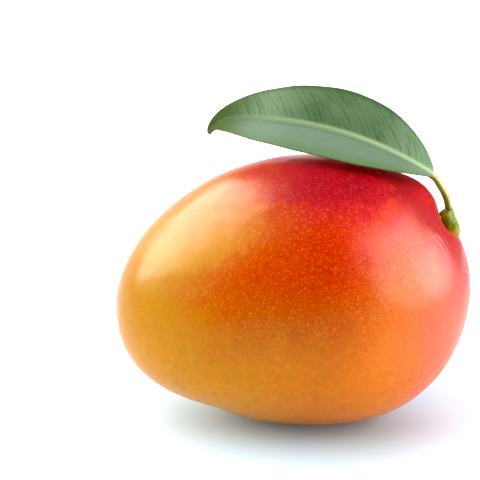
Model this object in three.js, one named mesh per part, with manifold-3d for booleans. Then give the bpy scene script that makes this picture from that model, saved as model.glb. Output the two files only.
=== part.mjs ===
// A ripe mango resting on its lower edge, with the cut stub of its fruit stalk and one leaf.
// Millimetres, +Z up. The origin is the centre of the small flat spot that the fruit rests on.
// +X runs from the beak to the stem end, +Y from the front cheek to the back cheek.

import * as THREE from "three";
import { mergeVertices } from "three/addons/utils/BufferGeometryUtils.js";
import Module from "manifold-3d";

const wasm = await Module();
wasm.setup();

// ---- Fruit: an ellipsoid about its middle, with broad swells and hollows -------------------
const HALF_LENGTH = 55.0;
const HALF_HEIGHT = 45.0;
const HALF_THICKNESS = 42.5;
const LONG_AXIS_TILT = 2.5; // degrees, stem end up
const STEM_END_FULLER = 0.08; // share by which the cheeks stand out more at the stem end
const MIDDLE_HEIGHT = 45.35; // of the form's middle above the resting surface

// Each swell: bearing in the XZ plane (degrees up from +X), height, spread in degrees, and how
// quickly it fades from edge to cheek (1 is round, less runs further across the fruit).
const SWELLS = {
  beak: { bearing: 197.5, height: 9.0, spread: 24.5, fade: 0.5 },
  sinus: { bearing: 230.5, height: -2.7, spread: 10.5, fade: 0.5 },
  shoulder: { bearing: 43, height: 2.75, spread: 28.5, fade: 0.7 },
  stemBasin: { bearing: 27.3, height: -4.1, spread: 3.3, fade: 0.47 },
  basinLip: { bearing: 42.1, height: 1.17, spread: 4.8, fade: 0.75 },
  belly: { bearing: 316.5, height: 4.05, spread: 26.5, fade: 0.6 },
};
const FRUIT_RINGS = 54;
const FRUIT_MERIDIANS = 60;
const RING_CROWDING = 1.55; // above 1 the rings stand closer round the stem basin

// ---- Stalk: the stub of the fruit stalk and the leaf stalk on it ---------------------------
const STUB_PATH = [[49.3, -2.2, 63.4], [50.4, -2.5, 67.0], [49.2, -2.5, 70.2], [47.6, -2.5, 73.7]];
const STUB_RADIUS = 2.4;
const STUB_FLARE = 0.35; // wider at the fruit
const STUB_ROUNDING = 0.3; // of the rim at its cut end
const STUB_FOOT = 0.2; // share of its length over which its foot is rounded
const LEAF_STALK_PATH = [[49.4, -2.2, 71.8], [48.75, -1.7, 75.8], [47.6, -0.9, 78.85], [45.85, -0.4, 81.8]];
const LEAF_STALK_ENDS = [1.4, 0.45]; // its last two points, as distances before the leaf's base
const LEAF_STALK_RADIUS = 1.2;
const LEAF_STALK_SWELLING = 0.3; // added at the stub
const GAP = 0.3; // kept between neighbouring pieces

// ---- Leaf: a folded, arched and rolled blade -----------------------------------------------
// The midrib is a Bezier curve through the space over the fruit, from the stalk to the tip.
const MIDRIB_CONTROLS = [
  [43.5, 0, 84.7], [7.6, -3.5, 108.7], [-12.7, -4.7, 101.7], [-25.4, 33.1, 103.9], [-31.2, 24.0, 94.3],
];
const LEAF_HALF_WIDTH = 15.05;
const LEAF_WIDEST = 0.675; // exponent of the length share, below 1 the blade is widest nearer its base
const LEAF_BLUNTNESS = [1.0, 0.67]; // exponent of the width's half sine at base and tip, smaller is blunter
const LEAF_NECK = 0.9; // half width where the blade meets its stalk
const LEAF_POINT = 0.25; // half width at the tip
const ROLL = [25, 44, 30]; // degrees towards the front at base, middle and tip
const FOLD = [22, 16, 13.5]; // degrees that each half rises from the midrib
const FRONT_DROOP = 0.065; // share of the half width that the front margin hangs down
const MARGIN_WAVE = 0.12; // how far the margin rises and falls
const MARGIN_WAVES = 5.5;
const BLADE = 0.66; // thickness
const MIDRIB_HALF_WIDTH = 1.3;
const MIDRIB_RISE = 0.5; // over the upper face, at the base
const MIDRIB_KEEL = 0.9; // under the lower face, at the base
const MIDRIB_NARROWING = 0.5; // share of its width lost by the tip
const MIDRIB_LOWERING = 0.8; // share of its height lost by the tip
const LEAF_ROWS = 34;
const LEAF_COLUMNS = 18; // even, so that one line runs along the midrib
const COLUMN_CROWDING = 1.5; // above 1 the columns stand closer beside the midrib

const degrees = THREE.MathUtils.degToRad;

// ---- Shared helpers ------------------------------------------------------------------------

/** A geometry from a flat list of points and a list of triangles. */
function meshOf(points, triangles) {
  const geometry = new THREE.BufferGeometry();
  const numbers = points.flatMap((p) => p.toArray());
  geometry.setAttribute("position", new THREE.Float32BufferAttribute(numbers, 3));
  geometry.setIndex(triangles.flat());
  geometry.computeVertexNormals();
  return geometry;
}

/** Closes rings between a first and a last point. They run anticlockwise seen from the last point. */
function closedRings(first, rings, last) {
  const sides = rings[0].length;
  const points = [first, ...rings.flat(), last];
  const at = (ring, side) => 1 + ring * sides + (side % sides);
  const triangles = [];
  for (let side = 0; side < sides; side++) {
    triangles.push([0, at(0, side + 1), at(0, side)]);
    triangles.push([points.length - 1, at(rings.length - 1, side), at(rings.length - 1, side + 1)]);
    for (let ring = 0; ring + 1 < rings.length; ring++) {
      triangles.push([at(ring, side), at(ring, side + 1), at(ring + 1, side + 1)]);
      triangles.push([at(ring, side), at(ring + 1, side + 1), at(ring + 1, side)]);
    }
  }
  return meshOf(points, triangles);
}

/** A round rod along a smooth path. radiusAt gives its radius from 0 at the start to 1 at the end. */
function rod(path, radiusAt, steps, sides) {
  const curve = new THREE.CatmullRomCurve3(path.map((p) => new THREE.Vector3(...p)));
  const rings = [];
  for (let step = 0; step <= steps; step++) {
    const share = step / steps;
    const centre = curve.getPointAt(share);
    const tangent = curve.getTangentAt(share);
    const side = new THREE.Vector3(0, 1, 0).addScaledVector(tangent, -tangent.y).normalize();
    const front = new THREE.Vector3().crossVectors(tangent, side);
    const radius = radiusAt(share);
    const ring = [];
    for (let corner = 0; corner < sides; corner++) {
      const angle = (2 * Math.PI * corner) / sides;
      ring.push(
        centre.clone()
          .addScaledVector(side, radius * Math.cos(angle))
          .addScaledVector(front, radius * Math.sin(angle)),
      );
    }
    rings.push(ring);
  }
  return closedRings(curve.getPointAt(0), rings, curve.getPointAt(1));
}

function solidOf(geometry) {
  const bare = geometry.clone();
  bare.deleteAttribute("normal");
  bare.deleteAttribute("uv");
  const merged = mergeVertices(bare);
  const vertProperties = new Float32Array(merged.attributes.position.array);
  const triVerts = new Uint32Array(merged.index.array);
  return new wasm.Manifold(new wasm.Mesh({ numProp: 3, vertProperties, triVerts }));
}

function geometryOf(solid) {
  const mesh = solid.getMesh();
  const geometry = new THREE.BufferGeometry();
  const numbers = new Float32Array(mesh.vertProperties);
  geometry.setAttribute("position", new THREE.BufferAttribute(numbers, 3));
  geometry.setIndex(new THREE.BufferAttribute(new Uint32Array(mesh.triVerts), 1));
  geometry.computeVertexNormals();
  return geometry;
}

function piece(name, geometry, color, roughness) {
  const material = new THREE.MeshStandardMaterial({ color, roughness, metalness: 0 });
  const mesh = new THREE.Mesh(geometry, material);
  mesh.name = name;
  return mesh;
}

// ---- Fruit ---------------------------------------------------------------------------------

/** Distance from the fruit's middle to its skin along a unit direction. */
function skinDistance(direction) {
  const tilt = degrees(LONG_AXIS_TILT);
  const along = direction.x * Math.cos(tilt) + direction.z * Math.sin(tilt);
  const upward = -direction.x * Math.sin(tilt) + direction.z * Math.cos(tilt);
  const sideways = direction.y / (1 + STEM_END_FULLER * direction.x);
  let distance = 1 / Math.hypot(along / HALF_LENGTH, sideways / HALF_THICKNESS, upward / HALF_HEIGHT);
  for (const { bearing, height, spread, fade } of Object.values(SWELLS)) {
    const offset = Math.hypot(
      direction.x - Math.cos(degrees(bearing)),
      fade * direction.y,
      direction.z - Math.sin(degrees(bearing)),
    );
    distance += height * Math.exp(-0.5 * (offset / degrees(spread)) ** 2);
  }
  return distance;
}

/** The fruit's skin, moved out by grow, with rings round the stem basin and its flat resting spot. */
function fruitGeometry(grow) {
  const bearing = degrees(SWELLS.stemBasin.bearing);
  const axis = new THREE.Vector3(Math.cos(bearing), 0, Math.sin(bearing));
  const side = new THREE.Vector3(0, 1, 0);
  const front = new THREE.Vector3().crossVectors(axis, side);
  const middle = new THREE.Vector3(0, 0, MIDDLE_HEIGHT);
  const skinPoint = (polar, turn) => {
    const direction = new THREE.Vector3()
      .addScaledVector(axis, Math.cos(polar))
      .addScaledVector(side, Math.sin(polar) * Math.cos(turn))
      .addScaledVector(front, Math.sin(polar) * Math.sin(turn));
    const point = direction.clone().multiplyScalar(skinDistance(direction) + grow).add(middle);
    point.z = Math.max(point.z, 0);
    return point;
  };
  const rings = [];
  for (let ring = FRUIT_RINGS - 1; ring > 0; ring--) {
    const polar = Math.PI * (ring / FRUIT_RINGS) ** RING_CROWDING;
    const corners = [];
    for (let corner = 0; corner < FRUIT_MERIDIANS; corner++) {
      corners.push(skinPoint(polar, (2 * Math.PI * corner) / FRUIT_MERIDIANS));
    }
    rings.push(corners);
  }
  return closedRings(skinPoint(Math.PI, 0), rings, skinPoint(0, 0));
}

// ---- Stalk ---------------------------------------------------------------------------------

/** The stub, hollowed underneath to the fruit's skin, joined with the leaf stalk. */
function stemGeometry() {
  const stubRadius = (share) => {
    const flared = STUB_RADIUS + STUB_FLARE * (1 - share) ** 2;
    const below = Math.max(STUB_FOOT - share, 0) / STUB_FOOT;
    const footed = flared * Math.sqrt(1 - 0.65 * below ** 2);
    return share < 1 ? footed : footed - STUB_ROUNDING;
  };
  const leafStalkRadius = (share) => LEAF_STALK_RADIUS + LEAF_STALK_SWELLING * (1 - share) ** 4;
  const stub = solidOf(rod(STUB_PATH, stubRadius, 12, 18));
  const base = midrib.getPointAt(0);
  const tangent = midrib.getTangentAt(0);
  const lastPoints = LEAF_STALK_ENDS.map((before) => {
    return base.clone().addScaledVector(tangent, -before).toArray();
  });
  const leafStalk = solidOf(rod([...LEAF_STALK_PATH, ...lastPoints], leafStalkRadius, 16, 12));
  const clearOfFruit = solidOf(fruitGeometry(GAP));
  return geometryOf(stub.add(leafStalk).subtract(clearOfFruit));
}

// ---- Leaf ----------------------------------------------------------------------------------

/** The parabola through three values at the base, the middle and the tip. */
function threePoint([base, middle, tip], share) {
  const fromBase = base * (1 - share) * (1 - 2 * share);
  const fromTip = tip * share * (2 * share - 1);
  return fromBase + middle * 4 * share * (1 - share) + fromTip;
}

/** The Bezier curve of the midrib, by de Casteljau's rule. */
class MidribCurve extends THREE.Curve {
  getPoint(t) {
    let points = MIDRIB_CONTROLS.map((p) => new THREE.Vector3(...p));
    while (points.length > 1) {
      points = points.slice(1).map((p, i) => points[i].clone().lerp(p, t));
    }
    return points[0];
  }
}
const midrib = new MidribCurve();

/** Centre surface of the blade and its upward normal, at share along it and across from -1 to 1. */
function bladeAt(share, across) {
  const centre = midrib.getPointAt(share);
  const tangent = midrib.getTangentAt(share);
  const level = new THREE.Vector3(0, 1, 0).addScaledVector(tangent, -tangent.y).normalize();
  const upright = new THREE.Vector3().crossVectors(level, tangent);
  const roll = degrees(threePoint(ROLL, share));
  const out = level.clone().multiplyScalar(Math.cos(roll)).addScaledVector(upright, Math.sin(roll));
  const up = upright.clone().multiplyScalar(Math.cos(roll)).addScaledVector(level, -Math.sin(roll));
  const fold = degrees(threePoint(FOLD, share));
  const bulge = Math.sin(Math.PI * share);
  const bluntness = LEAF_BLUNTNESS[0] + (LEAF_BLUNTNESS[1] - LEAF_BLUNTNESS[0]) * share;
  const outline = Math.max(Math.sin(Math.PI * share ** LEAF_WIDEST), 0) ** bluntness;
  const halfWidth = LEAF_HALF_WIDTH * outline + LEAF_NECK * (1 - share) ** 8 + LEAF_POINT * share;
  const reach = halfWidth * across;
  const droop = across < 0 ? FRONT_DROOP * halfWidth * bulge * across ** 2 : 0;
  const wave = MARGIN_WAVE * bulge * Math.abs(across) ** 3 * Math.sin(2 * Math.PI * MARGIN_WAVES * share);
  const point = centre.clone()
    .addScaledVector(out, reach * Math.cos(fold))
    .addScaledVector(up, Math.abs(reach) * Math.sin(fold) - droop + wave);
  return { point, up, reach };
}

/** The leaf: rows of points over its upper and lower faces, both split into triangles alike. */
function leafGeometry() {
  const half = LEAF_COLUMNS / 2;
  const acrossOf = (column) => Math.sign(column) * Math.abs(column / half) ** COLUMN_CROWDING;
  const rows = [];
  for (let row = 0; row <= LEAF_ROWS; row++) {
    const share = 0.5 - 0.5 * Math.cos((Math.PI * row) / LEAF_ROWS);
    const upper = [];
    const lower = [];
    for (let column = -half; column <= half; column++) {
      const { point, up, reach } = bladeAt(share, acrossOf(column));
      const ribHeight = 1 - MIDRIB_LOWERING * share;
      const ribHalfWidth = MIDRIB_HALF_WIDTH * (1 - MIDRIB_NARROWING * share);
      const round = ribHeight * Math.sqrt(Math.max(0, 1 - (reach / ribHalfWidth) ** 2));
      upper.push(point.clone().addScaledVector(up, BLADE / 2 + MIDRIB_RISE * round));
      lower.push(point.clone().addScaledVector(up, -BLADE / 2 - MIDRIB_KEEL * round));
    }
    rows.push({ upper, lower });
  }
  const points = rows.flatMap(({ upper, lower }) => [...upper, ...lower]);
  const columns = LEAF_COLUMNS + 1;
  const top = (row, column) => row * 2 * columns + column;
  const under = (row, column) => top(row, column) + columns;
  const triangles = [];
  for (let row = 0; row < LEAF_ROWS; row++) {
    for (let column = 0; column < LEAF_COLUMNS; column++) {
      triangles.push([top(row, column), top(row + 1, column + 1), top(row + 1, column)]);
      triangles.push([top(row, column), top(row, column + 1), top(row + 1, column + 1)]);
      triangles.push([under(row, column), under(row + 1, column), under(row + 1, column + 1)]);
      triangles.push([under(row, column), under(row + 1, column + 1), under(row, column + 1)]);
    }
    triangles.push([top(row, 0), top(row + 1, 0), under(row + 1, 0)]);
    triangles.push([top(row, 0), under(row + 1, 0), under(row, 0)]);
    triangles.push([top(row, LEAF_COLUMNS), under(row + 1, LEAF_COLUMNS), top(row + 1, LEAF_COLUMNS)]);
    triangles.push([top(row, LEAF_COLUMNS), under(row, LEAF_COLUMNS), under(row + 1, LEAF_COLUMNS)]);
  }
  for (let column = 0; column < LEAF_COLUMNS; column++) {
    triangles.push([top(0, column), under(0, column), under(0, column + 1)]);
    triangles.push([top(0, column), under(0, column + 1), top(0, column + 1)]);
    triangles.push([top(LEAF_ROWS, column), under(LEAF_ROWS, column + 1), under(LEAF_ROWS, column)]);
    triangles.push([top(LEAF_ROWS, column), top(LEAF_ROWS, column + 1), under(LEAF_ROWS, column + 1)]);
  }
  return meshOf(points, triangles);
}

// ---- The object ----------------------------------------------------------------------------

const group = new THREE.Group();
group.add(piece("fruit", fruitGeometry(0), 0xdd5f2a, 0.35));
group.add(piece("stem", stemGeometry(), 0x8c8c2e, 0.6));
group.add(piece("leaf", leafGeometry(), 0x6f9478, 0.4));

export default group;
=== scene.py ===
"""A ripe mango resting on its lower edge, with the cut stub of its stalk and one waxy leaf.

Metres, +Z up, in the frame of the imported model: +X runs from the beak to the stem end and
the front cheek looks towards -Y.
"""

import math

import bpy
import numpy as np
from mathutils import Matrix, Vector


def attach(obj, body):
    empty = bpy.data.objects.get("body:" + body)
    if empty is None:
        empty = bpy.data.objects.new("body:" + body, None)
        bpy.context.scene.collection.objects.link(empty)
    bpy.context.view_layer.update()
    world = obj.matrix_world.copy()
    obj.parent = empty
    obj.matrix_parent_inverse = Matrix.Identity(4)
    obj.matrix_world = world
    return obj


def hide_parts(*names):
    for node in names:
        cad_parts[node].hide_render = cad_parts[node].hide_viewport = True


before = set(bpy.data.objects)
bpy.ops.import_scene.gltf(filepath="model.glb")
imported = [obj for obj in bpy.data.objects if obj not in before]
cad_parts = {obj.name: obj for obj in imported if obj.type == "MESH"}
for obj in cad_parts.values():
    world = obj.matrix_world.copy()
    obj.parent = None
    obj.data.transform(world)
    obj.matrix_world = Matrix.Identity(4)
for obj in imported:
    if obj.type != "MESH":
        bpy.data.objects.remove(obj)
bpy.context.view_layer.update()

MM = 0.001


def srgb(red, green, blue):
    """Linear colour from the 0 to 255 values that a screen shows."""
    def linear(value):
        share = value / 255
        return share / 12.92 if share <= 0.04045 else ((share + 0.055) / 1.055) ** 2.4
    return (linear(red), linear(green), linear(blue), 1.0)


# ---- Fruit form: the same ellipsoid, swells and hollows as the solid ----
HALF_LENGTH = 55.0 * MM
HALF_HEIGHT = 45.0 * MM
HALF_THICKNESS = 42.5 * MM
LONG_AXIS_TILT = math.radians(2.5)
STEM_END_FULLER = 0.08
MIDDLE = np.array([0.0, 0.0, 45.35 * MM])
# bearing in the XZ plane (degrees up from +X), height, spread in degrees, fade across the fruit
SWELLS = {
    "beak": (197.5, 9.0 * MM, 24.5, 0.5),
    "sinus": (230.5, -2.7 * MM, 10.5, 0.5),
    "shoulder": (43, 2.75 * MM, 28.5, 0.7),
    "stem_basin": (27.3, -4.1 * MM, 3.3, 0.47),
    "basin_lip": (42.1, 1.17 * MM, 4.8, 0.75),
    "belly": (316.5, 4.05 * MM, 26.5, 0.6),
}
STEM_BEARING = math.radians(SWELLS["stem_basin"][0])
STEM_AXIS = np.array([math.cos(STEM_BEARING), 0, math.sin(STEM_BEARING)])
FRUIT_RINGS = 290
FRUIT_MERIDIANS = 330
RING_CROWDING = 1.25

# Smooth noise: number of its waves, their shortest and longest as shares of the wavelength, and
# what brings their sum to about one
NOISE_WAVES = 48
NOISE_LENGTHS = (0.7, 1.5)
NOISE_PEAK = 1.6

# Each layer of noise is its height, its wavelength and its seed
DENTS = ((0.16 * MM, 24 * MM, 1), (0.05 * MM, 7 * MM, 2))
WRINKLE_SPACING = 2.4  # degrees from arc to arc round the stem
WRINKLE_ZONE = (20, 8)  # where the arcs are strongest and how wide their zone is, in degrees
WRINKLE_HEIGHT = 0.04 * MM
WRINKLE_WANDER = (3.5, 8 * MM, 3)
WRINKLE_GAPS = (1.0, 12 * MM, 4)
WRINKLE_GAP_EDGE = (-0.7, 0.3)

# ---- Skin colour ----
# Linear colours, before the tone is multiplied in
GOLD = (1.0, 0.47, 0.012, 1)
AMBER = (1.0, 0.255, 0.01, 1)
RED = (1.0, 0.035, 0.001, 1)
CRIMSON = (1.0, 0.008, 0.032, 1)
PALE_PORE = (1.0, 0.44, 0.03, 1)
ORANGE_PORE = (1.0, 0.13, 0.012, 1)
DARK_SPECK = (0.6, 0.07, 0.004, 1)
# Pink bloom; on the stem's cheek it is partly a painted sheen under the highlight, and on the crest
# painted light
BLOOM_AND_SHEEN = (1.0, 0.2, 0.16, 1)
COLLAR = (0.85, 0.3, 0.02, 1)

# Places on the skin are in mm from the fruit's middle, and they drift so that no edge is straight
SKIN_DRIFT = ((2.2, 26 * MM, 11), (1.3, 9 * MM, 12))
SKIN_DRIFT_UP = 0.8  # of the drift along X that goes up as well
FINE_DRIFT = (0.9, 4 * MM, 13)

# Zones of the skin. Each border is an axis, where the zone starts along it and where it is full,
# in mm, or in degrees for from_stem. The borders of a zone multiply. skin_fields works out the
# axes that bend or slant.
FRONT_OF_STEM_END = (("x", 3, 32), ("from_stem", 23, 38), ("y", 26, -6))
# Where the leaf's shadow is painted on the skin, as darker tone
PAINTED_LEAF_SHADOW = (("x", -22, -2), ("x", 44, 34), ("y", 7, -5), ("z", 33, 40))
ZONES = {
    "back": (("y", -6, 26),),
    "low": (("z", 2, -22),),
    "round_stem": (("from_stem", 38, 23),),
    "collar": (("from_stub", 6.4, 4.4),),
    "shoulder_bend": (("z", 11, 23),),
    "crest_bend": (("z", 28, 38),),
    "blush_height": (("z", -20, 25),),
    "blush_past_beak": (("past_beak", -11, 12),),
    "full_blush_along": (("x", -18, 6),),
    "full_blush_above": (("z", 16, 26),),
    "thin_blush": (("past_flank", 8, 36),),
    "blush_behind": (("behind", -34, 6),),
    "stem_side": (("x", 26, 46),),
    "low_stem_side": (("x", 20, 38), ("z", -14, -30)),
    "gold_side": (("x", 15, -42),),
    "beak_shoulder": (("x", -20, -36), ("z", 16, 30)),
    "top": (("x", -18, 4), ("z", 28, 41)),
    "crimson_behind": (("y", -6, 26), ("steeply_behind", -12, 20)),
    "stem_shoulder": (("x", 20, 33), ("z", 17, 29)),
    "far_stem_shoulder": (("x", 27, 40), ("y", -24, -9)),
    "stem_end": (("x", 49, 54), ("z", -14, 2)),
    "stem_flank": (("x", 24, 38), ("z", 8, 26)),
    "upper_half": (("z", 12, 28),),
    "beak_end": (("x", -34, -50), ("z", -24, -4)),
    "cheek": FRONT_OF_STEM_END,
    "low_cheek": (*FRONT_OF_STEM_END, ("z", 2, -22)),
    # The next three zones are painted shade: the leaf's shadow, as darker tone on the skin below it
    "painted_leaf_shadow_fringe": (("x", 10, 22), ("x", 42, 34), ("z", 22, 30)),
    "painted_leaf_shadow": PAINTED_LEAF_SHADOW,
    "painted_leaf_shadow_stalk_half": (*PAINTED_LEAF_SHADOW, ("x", 8, 24)),
    # The next two zones are painted light: lighter tone on the top rim and the crest, where the leaf
    # keeps the light off
    "painted_light_top_rim": (("y", -3, 10), ("z", 26, 35)),
    "painted_light_crest": (("x", -16, -2), ("y", -12, 2), ("z", 35, 41)),
}
# The blush border bends up at the shoulder round the upper left highlight, so the gold left there is
# partly a painted highlight
BEAK_BORDER = -39  # mm along X, where the blush starts; it bends with height by these two:
SHOULDER_BEND = 20
CREST_BEND = -6
FLANK_SLANT = 0.45  # mm along X for each mm up, above the next height
FLANK_SLANT_FROM = 12
BEHIND_SLANT = 0.7  # mm up for each mm along X
BEHIND_STEEP_SLANT = 0.5

# Patches of the skin: strength, then middle and spread along X, then the same along Z
PATCHES = {
    "red_flank": (0.14, -20, 8, 8, 10),
    "red_upper_flank": (0.2, -15, 8, 21, 4.5),
    "pale_shoulder": (0.3, -21, 7, 36, 6),
    "pale_upper_flank": (0.25, -12, 9, 25, 8),
    # gold high on the beak's flank, partly a painted highlight
    "gold_and_highlight_beak": (0.25, -40, 13, 20, 11),
    "crimson_low_rim": (0.55, 54, 4.5, -22, 9),
    # pink bloom on the stem's cheek, partly a painted sheen under the highlight there
    "cheek_bloom_and_sheen": (0.65, 47, 10.5, -4, 15),
    "upper_cheek_bloom_and_sheen": (0.4, 30, 6.5, 25, 5.5),
    "specks": (1.0, -7, 7, -37, 5),
}
TONE_PATCHES = {
    "below_beak": (-0.05, -42, 12, -14, 12),
    # painted light beside the leaf stalk, lightening the skin that the leaf shades
    "painted_light_beside_leaf_stalk": (0.22, 40, 6, 40, 4),
    # painted shadow of the leaf, darker tone below it
    "painted_leaf_shadow": (-0.1, 17, 9, 42, 4),
    "beside_stub": (0.1, 51, 5, 19, 8),
    "beak_flank": (0.05, -32, 14, 6, 13),
    # painted highlight: lighter tone high on the beak's flank, under the highlight
    "painted_highlight_beak_flank": (0.13, -28, 10, 26, 10),
    "flank": (-0.06, -18, 14, 4, 15),
    "cheek_middle": (-0.04, -4, 9, -1, 4.5),
    "low_cheek": (-0.05, 30, 7, -26, 8),
    "low_rim": (-0.06, 51, 5, -22, 9),
}
TONE = 0.54
# Some tone zones are painted shade and light: the leaf's shadow below it, and light on the top rim and
# the crest
TONE_ZONES = {
    "upper_half": 0.06, "cheek": 0.3, "low_cheek": -0.1, "low": 0.07, "beak_end": 0.04,
    "painted_light_top_rim": 0.24, "painted_light_crest": 0.16, "painted_leaf_shadow": -0.13, "painted_leaf_shadow_stalk_half": -0.078,
    "painted_leaf_shadow_fringe": -0.05,
}
# Light and dark arcs in the tone round the stem: painted glints of the wrinkles in the highlight
WRINKLE_PAINTED_GLINT = 0.06
CRIMSON_ZONES = {
    "top": 1.0, "round_stem": 0.9, "crimson_behind": 0.8, "stem_shoulder": 0.8,
    "far_stem_shoulder": 0.8, "stem_end": 0.75, "stem_flank": 0.7,
}
REDDER_ZONES = {"stem_side": 0.4, "low_stem_side": 0.45}
FAINT_BLUSH = 0.26  # share of the blush that is missing before it is full
BLUSH_THINNING = 0.6
GOLD_SHARE = 0.75
SHOULDER_GOLD_LOSS = 0.45
# share of pale pink painted on the crest below the leaf, as painted light
CREST_PAINTED_LIGHT = 0.2

# Dots in the skin: number per metre, then smallest and largest radius as shares of a cell
PORES = (1000.0, 0.5, 0.68)
FINE_PORES = (1300.0, 0.46, 0.66)
SPECKS = (1050.0, 0.12, 0.34)
DOT_SCATTER = 0.85  # how far from an even net the dots lie, from 0 to 1
DOT_CORE = 0.2  # of a dot's radius that is its full strength

# Noise in the materials, in waves to the metre
SKIN_MOTTLE = 620
SKIN_GRAIN = 1900
SKIN_CLOUDS = 430
BARK_PATCHES = 700
BARK_FIBRES = 2500
STALK_STREAKS = 1500
LEAF_CLOUDS = 90
LEAF_NET = 1100

# Fades in the materials: a value's start and end, then what they become where that isn't 0 and 1
FADES = {
    "pore_chance": (0.0, 1.0, 0.2, 0.65),
    "pores_in_red": (0.0, 0.5, 0.4, 1.15),
    "fine_pore_chance": (0.1, 0.9, 0.0, 0.55),
    "fine_pores_in_red": (0.0, 0.5),
    "speck_chance": (0.35, 1.0, 0.0, 0.35),
    "dots_in_pink": (0.1, 0.6, 1.0, 0.4),
    "pink_pores": (0.0, 0.6),
    "cloud_tone": (0.4, 0.7, 0.04, -0.035),
    "clouds_low_down": (0.0, 1.0, 0.35, 1.0),
    "bright_bark": (0.35, 0.65),
    "stub_foot": (0.5, 0.3),
    "foot_patches": (0.3, 0.6, 0.5, 1.0),
    "stub_end": (0.88, 0.99),
    "cork_patches": (0.3, 0.6),
    # painted shade on the stalk's side towards the beak
    "painted_shade_side": (-0.3, 0.45),
    "stalk_streaks": (0.4, 0.7, 0.0, 0.35),
    "vein": (0.5, 0.05),
    "vein_clouds": (0.35, 0.65, 0.1, 1.0),
    "net": (0.12, 0.02),
    "near_half": (0.6, -0.6),
    "far_half": (0.0, 0.5),
    "dark_from": (0.12, 0.3),
    "dark_to": (0.75, 0.45),
    "dark_clouds": (0.35, 0.65, 0.6, 1.0),
    "beside_rib": (9.0, 1.5, 0.0, 0.3),
    "streaks_by_rib": (0.35, 0.6),
    "rib_shade": (1.0, 0.2, 0.0, 0.45),
    "rib_shade_to": (0.85, 0.6),
    "rib_to_tip": (0.55, 1.0, 1.0, 0.45),
    "near_border": (0.55, 0.97, 0.0, 0.8),
    "far_border": (0.82, 0.97, 0.0, 0.7),
    "streaks": (0.44, 0.7, 0.0, 0.62),
    "streaks_in_near_half": (0.0, 1.0, 1.0, 0.2),
    "streaks_at_base": (0.3, 0.05, 1.0, 1.5),
    "pale_base": (0.16, 0.02, 0.0, 0.35),
    "tip": (0.7, 0.93, 0.0, 0.95),
    "shaded_tip": (0.62, 0.9, 0.0, 0.68),
    "margin": (0.95, 0.985, 0.0, 0.7),
    "leaf_roughness": (0.3, 0.7, 0.42, 0.6),
}
# Strengths in the materials
MOTTLED_REDNESS = 0.55
COLLAR_SHARE = 0.75
GRAIN_TONE = 0.13
PORE_TONE = 0.2
FINE_PORE_TONE = 0.12
PORE_HEIGHT = 0.5
GRAIN_HEIGHT = 0.6
NET_SHARE = 0.1
NET_HEIGHT = 0.25
VEIN_SHARE = 0.12
VEIN_HEIGHT = 0.5
RIB_GREENING = 0.36  # power of the share along the leaf
# the stalk's dark side is painted shade
SHADED_SIDE_TURN = 0.2  # radians that the stalk's dark side is turned from the beak's side

# ---- Leaf colour ----
FAR_GREEN = srgb(124, 154, 114)
FAR_GREEN_DARK = srgb(79, 107, 70)
# The near half's greyer, bluer green is partly a painted sheen
NEAR_GREEN_AND_SHEEN = srgb(122, 146, 120)
NEAR_BORDER = srgb(102, 134, 88)
RIB_SHADE = srgb(84, 120, 72)
LEAF_STREAK = srgb(60, 92, 54)
LEAF_VEIN = srgb(150, 178, 140)
LEAF_TIP = srgb(84, 100, 14)
LEAF_SHADED = srgb(48, 74, 24)
LEAF_MARGIN = srgb(84, 104, 60)
LEAF_UNDER = srgb(122, 150, 92)
RIB_AT_STALK = srgb(224, 248, 200)
RIB_AT_TIP = srgb(112, 140, 96)

# ---- Stalk ----
STUB_PATH = np.array([
    [49.3, -2.2, 63.4], [50.4, -2.5, 67.0], [49.2, -2.5, 70.2], [47.6, -2.5, 73.7],
]) * MM
STUB_RADIUS = 2.4 * MM
STUB_FOOT_SWELLING = 0.13
STUB_LUMPS = ((0.05, 3, 7, 0.0), (0.035, 5, -11, 1.0))  # height, number round it, twist, phase
STUB_END = (0.93, 0.075)  # share of its length where the cut end starts to round, and over how much
STUB_END_LEAST = 0.02  # square of the share of the radius that is left at the very end
STUB_RINGS = 46
STUB_SIDES = 64
STUB_GREEN = srgb(108, 130, 2)
STUB_BRIGHT_GREEN = srgb(146, 158, 12)
STUB_FOOT = srgb(186, 162, 44)
STUB_CORK = srgb(110, 74, 14)

LEAF_STALK_PATH = np.array([
    [49.4, -2.2, 71.8], [48.75, -1.7, 75.8], [47.6, -0.9, 78.85], [45.85, -0.4, 81.8],
    [44.45, -0.1, 83.85], [42.6, 0, 85.3],
]) * MM
LEAF_STALK_RADIUS = 1.2 * MM
LEAF_STALK_SWELLING = 0.27
LEAF_STALK_FLATNESS = 0.03
LEAF_STALK_RINGS = 90
LEAF_STALK_SIDES = 40
# each at the stub and at the leaf; the second is the side with painted shade
STALK_LIT_SIDE = (srgb(152, 152, 24), srgb(216, 222, 138))
STALK_SHADED_SIDE = (srgb(100, 108, 4), srgb(150, 164, 66))
STALK_STREAK = srgb(96, 100, 12)

# ---- Leaf ----
MIDRIB_CONTROLS = np.array([
    [43.5, 0, 84.7], [7.6, -3.5, 108.7], [-12.7, -4.7, 101.7], [-25.4, 33.1, 103.9],
    [-31.2, 24.0, 94.3],
]) * MM
MIDRIB_SAMPLES = 1200
LEAF_HALF_WIDTH = 15.05 * MM
LEAF_WIDEST = 0.675
LEAF_BLUNTNESS = (1.0, 0.67)
LEAF_NECK = 0.9 * MM
LEAF_NECK_FADE = 8
LEAF_POINT = 0.25 * MM
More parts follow.
